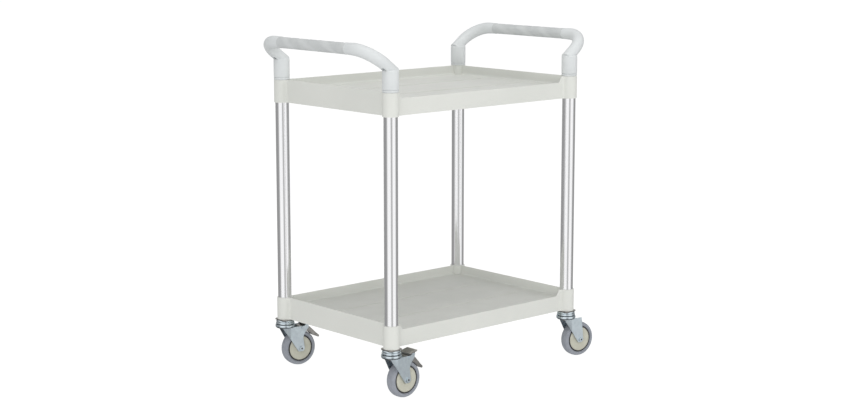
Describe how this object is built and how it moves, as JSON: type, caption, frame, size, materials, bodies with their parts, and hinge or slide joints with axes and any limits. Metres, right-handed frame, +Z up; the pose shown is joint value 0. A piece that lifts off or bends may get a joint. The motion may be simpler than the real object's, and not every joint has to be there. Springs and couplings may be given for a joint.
{
  "type": "serving trolley",
  "caption": "Serving trolley: moulded trays one above the other on tubular posts, a hoop handle at each end, swivel casters below, some with foot brakes.",
  "frame": {"origin": "on the floor, midway between the post axes", "axes": "+X along the long side of the trays, +Y across them with the low lip at -Y, +Z up"},
  "size_m": [0.8472, 0.5201, 0.9483],
  "materials": {
    "tray_plastic": "fine satin moulding",
    "post_metal": "bright drawn tube",
    "handle_plastic": "fine satin moulding",
    "grip_plastic": "soft satin sleeve",
    "collar_plastic": "satin ring",
    "zinc_steel": "bright zinc plate",
    "pedal_steel": "dull zinc plate",
    "hub_plastic": "satin moulding",
    "tread_rubber": "grey rubber"
  },
  "bodies": {
    "trolley_frame": {"upper_tray": "tray_plastic", "lower_tray": "tray_plastic", "stem_sockets": "hub_plastic", "post_collars": "collar_plastic", "tray_screws": "zinc_steel", "handle_left": "handle_plastic", "handle_right": "handle_plastic", "grip_left": "grip_plastic", "grip_right": "grip_plastic", "post_front_left": "post_metal", "post_front_right": "post_metal", "post_back_right": "post_metal", "post_back_left": "post_metal", "front_left_caster_stem": "zinc_steel", "front_left_upper_race": "zinc_steel", "front_right_caster_stem": "zinc_steel", "front_right_upper_race": "zinc_steel", "back_right_caster_stem": "zinc_steel", "back_right_upper_race": "zinc_steel", "back_left_caster_stem": "zinc_steel", "back_left_upper_race": "zinc_steel"},
    "front_left_swivel": {"front_left_swivel_balls": "zinc_steel", "front_left_fork": "zinc_steel", "front_left_axle_bolt": "zinc_steel", "front_left_axle_nut": "zinc_steel", "front_left_axle_sleeve": "zinc_steel", "front_left_brake_pins": "zinc_steel"},
    "front_left_wheel": {"front_left_wheel_hub": "hub_plastic", "front_left_tyre": "tread_rubber", "front_left_thread_guards": "hub_plastic"},
    "front_left_brake_lever": {"front_left_brake_arm": "pedal_steel"},
    "front_left_brake_release": {"front_left_brake_hood": "pedal_steel"},
    "front_right_swivel": {"front_right_swivel_balls": "zinc_steel", "front_right_fork": "zinc_steel", "front_right_axle_bolt": "zinc_steel", "front_right_axle_nut": "zinc_steel", "front_right_axle_sleeve": "zinc_steel"},
    "front_right_wheel": {"front_right_wheel_hub": "hub_plastic", "front_right_tyre": "tread_rubber", "front_right_thread_guards": "hub_plastic"},
    "back_right_swivel": {"back_right_swivel_balls": "zinc_steel", "back_right_fork": "zinc_steel", "back_right_axle_bolt": "zinc_steel", "back_right_axle_nut": "zinc_steel", "back_right_axle_sleeve": "zinc_steel"},
    "back_right_wheel": {"back_right_wheel_hub": "hub_plastic", "back_right_tyre": "tread_rubber", "back_right_thread_guards": "hub_plastic"},
    "back_left_swivel": {"back_left_swivel_balls": "zinc_steel", "back_left_fork": "zinc_steel", "back_left_axle_bolt": "zinc_steel", "back_left_axle_nut": "zinc_steel", "back_left_axle_sleeve": "zinc_steel", "back_left_brake_pins": "zinc_steel"},
    "back_left_wheel": {"back_left_wheel_hub": "hub_plastic", "back_left_tyre": "tread_rubber", "back_left_thread_guards": "hub_plastic"},
    "back_left_brake_lever": {"back_left_brake_arm": "pedal_steel"},
    "back_left_brake_release": {"back_left_brake_hood": "pedal_steel"}
  },
  "joints": [
    {"name": "front_left_swivel_turn", "type": "hinge", "parent": "trolley_frame", "child": "front_left_swivel", "pos_m": [-0.335, -0.231, 0.1169], "axis": [0, 0, 1], "continuous": true},
    {"name": "front_left_wheel_spin", "type": "hinge", "parent": "front_left_swivel", "child": "front_left_wheel", "pos_m": [-0.294, -0.231, 0.05], "axis": [0, 1, 0], "continuous": true},
    {"name": "front_left_brake_hood_tilt", "type": "hinge", "parent": "front_left_swivel", "child": "front_left_brake_release", "pos_m": [-0.273, -0.231, 0.1175], "axis": [0, 1, 0], "range_deg": [0, 16]},
    {"name": "front_left_brake_arm_tilt", "type": "hinge", "parent": "front_left_swivel", "child": "front_left_brake_lever", "pos_m": [-0.288, -0.231, 0.11], "axis": [0, 1, 0], "range_deg": [-3, 0]},
    {"name": "front_right_swivel_turn", "type": "hinge", "parent": "trolley_frame", "child": "front_right_swivel", "pos_m": [0.335, -0.231, 0.1169], "axis": [0, 0, 1], "continuous": true},
    {"name": "front_right_wheel_spin", "type": "hinge", "parent": "front_right_swivel", "child": "front_right_wheel", "pos_m": [0.3755, -0.23741, 0.05], "axis": [0.1564, 0.9877, 0], "continuous": true},
    {"name": "back_right_swivel_turn", "type": "hinge", "parent": "trolley_frame", "child": "back_right_swivel", "pos_m": [0.335, 0.231, 0.1169], "axis": [0, 0, 1], "continuous": true},
    {"name": "back_right_wheel_spin", "type": "hinge", "parent": "back_right_swivel", "child": "back_right_wheel", "pos_m": [0.3755, 0.22459, 0.05], "axis": [0.1564, 0.9877, 0], "continuous": true},
    {"name": "back_left_swivel_turn", "type": "hinge", "parent": "trolley_frame", "child": "back_left_swivel", "pos_m": [-0.335, 0.231, 0.1169], "axis": [0, 0, 1], "continuous": true},
    {"name": "back_left_wheel_spin", "type": "hinge", "parent": "back_left_swivel", "child": "back_left_wheel", "pos_m": [-0.2945, 0.22459, 0.05], "axis": [0.1564, 0.9877, 0], "continuous": true},
    {"name": "back_left_brake_hood_tilt", "type": "hinge", "parent": "back_left_swivel", "child": "back_left_brake_release", "pos_m": [-0.27376, 0.2213, 0.1175], "axis": [0.1564, 0.9877, 0], "range_deg": [-16, 0]},
    {"name": "back_left_brake_arm_tilt", "type": "hinge", "parent": "back_left_swivel", "child": "back_left_brake_lever", "pos_m": [-0.28858, 0.22365, 0.11], "axis": [0.1564, 0.9877, 0], "range_deg": [0, 3]}
  ],
  "couplings": [
    {"joint": "front_left_brake_arm_tilt", "follows": "front_left_brake_hood_tilt", "ratio": -0.1875},
    {"joint": "back_left_brake_arm_tilt", "follows": "back_left_brake_hood_tilt", "ratio": -0.1875}
  ]
}
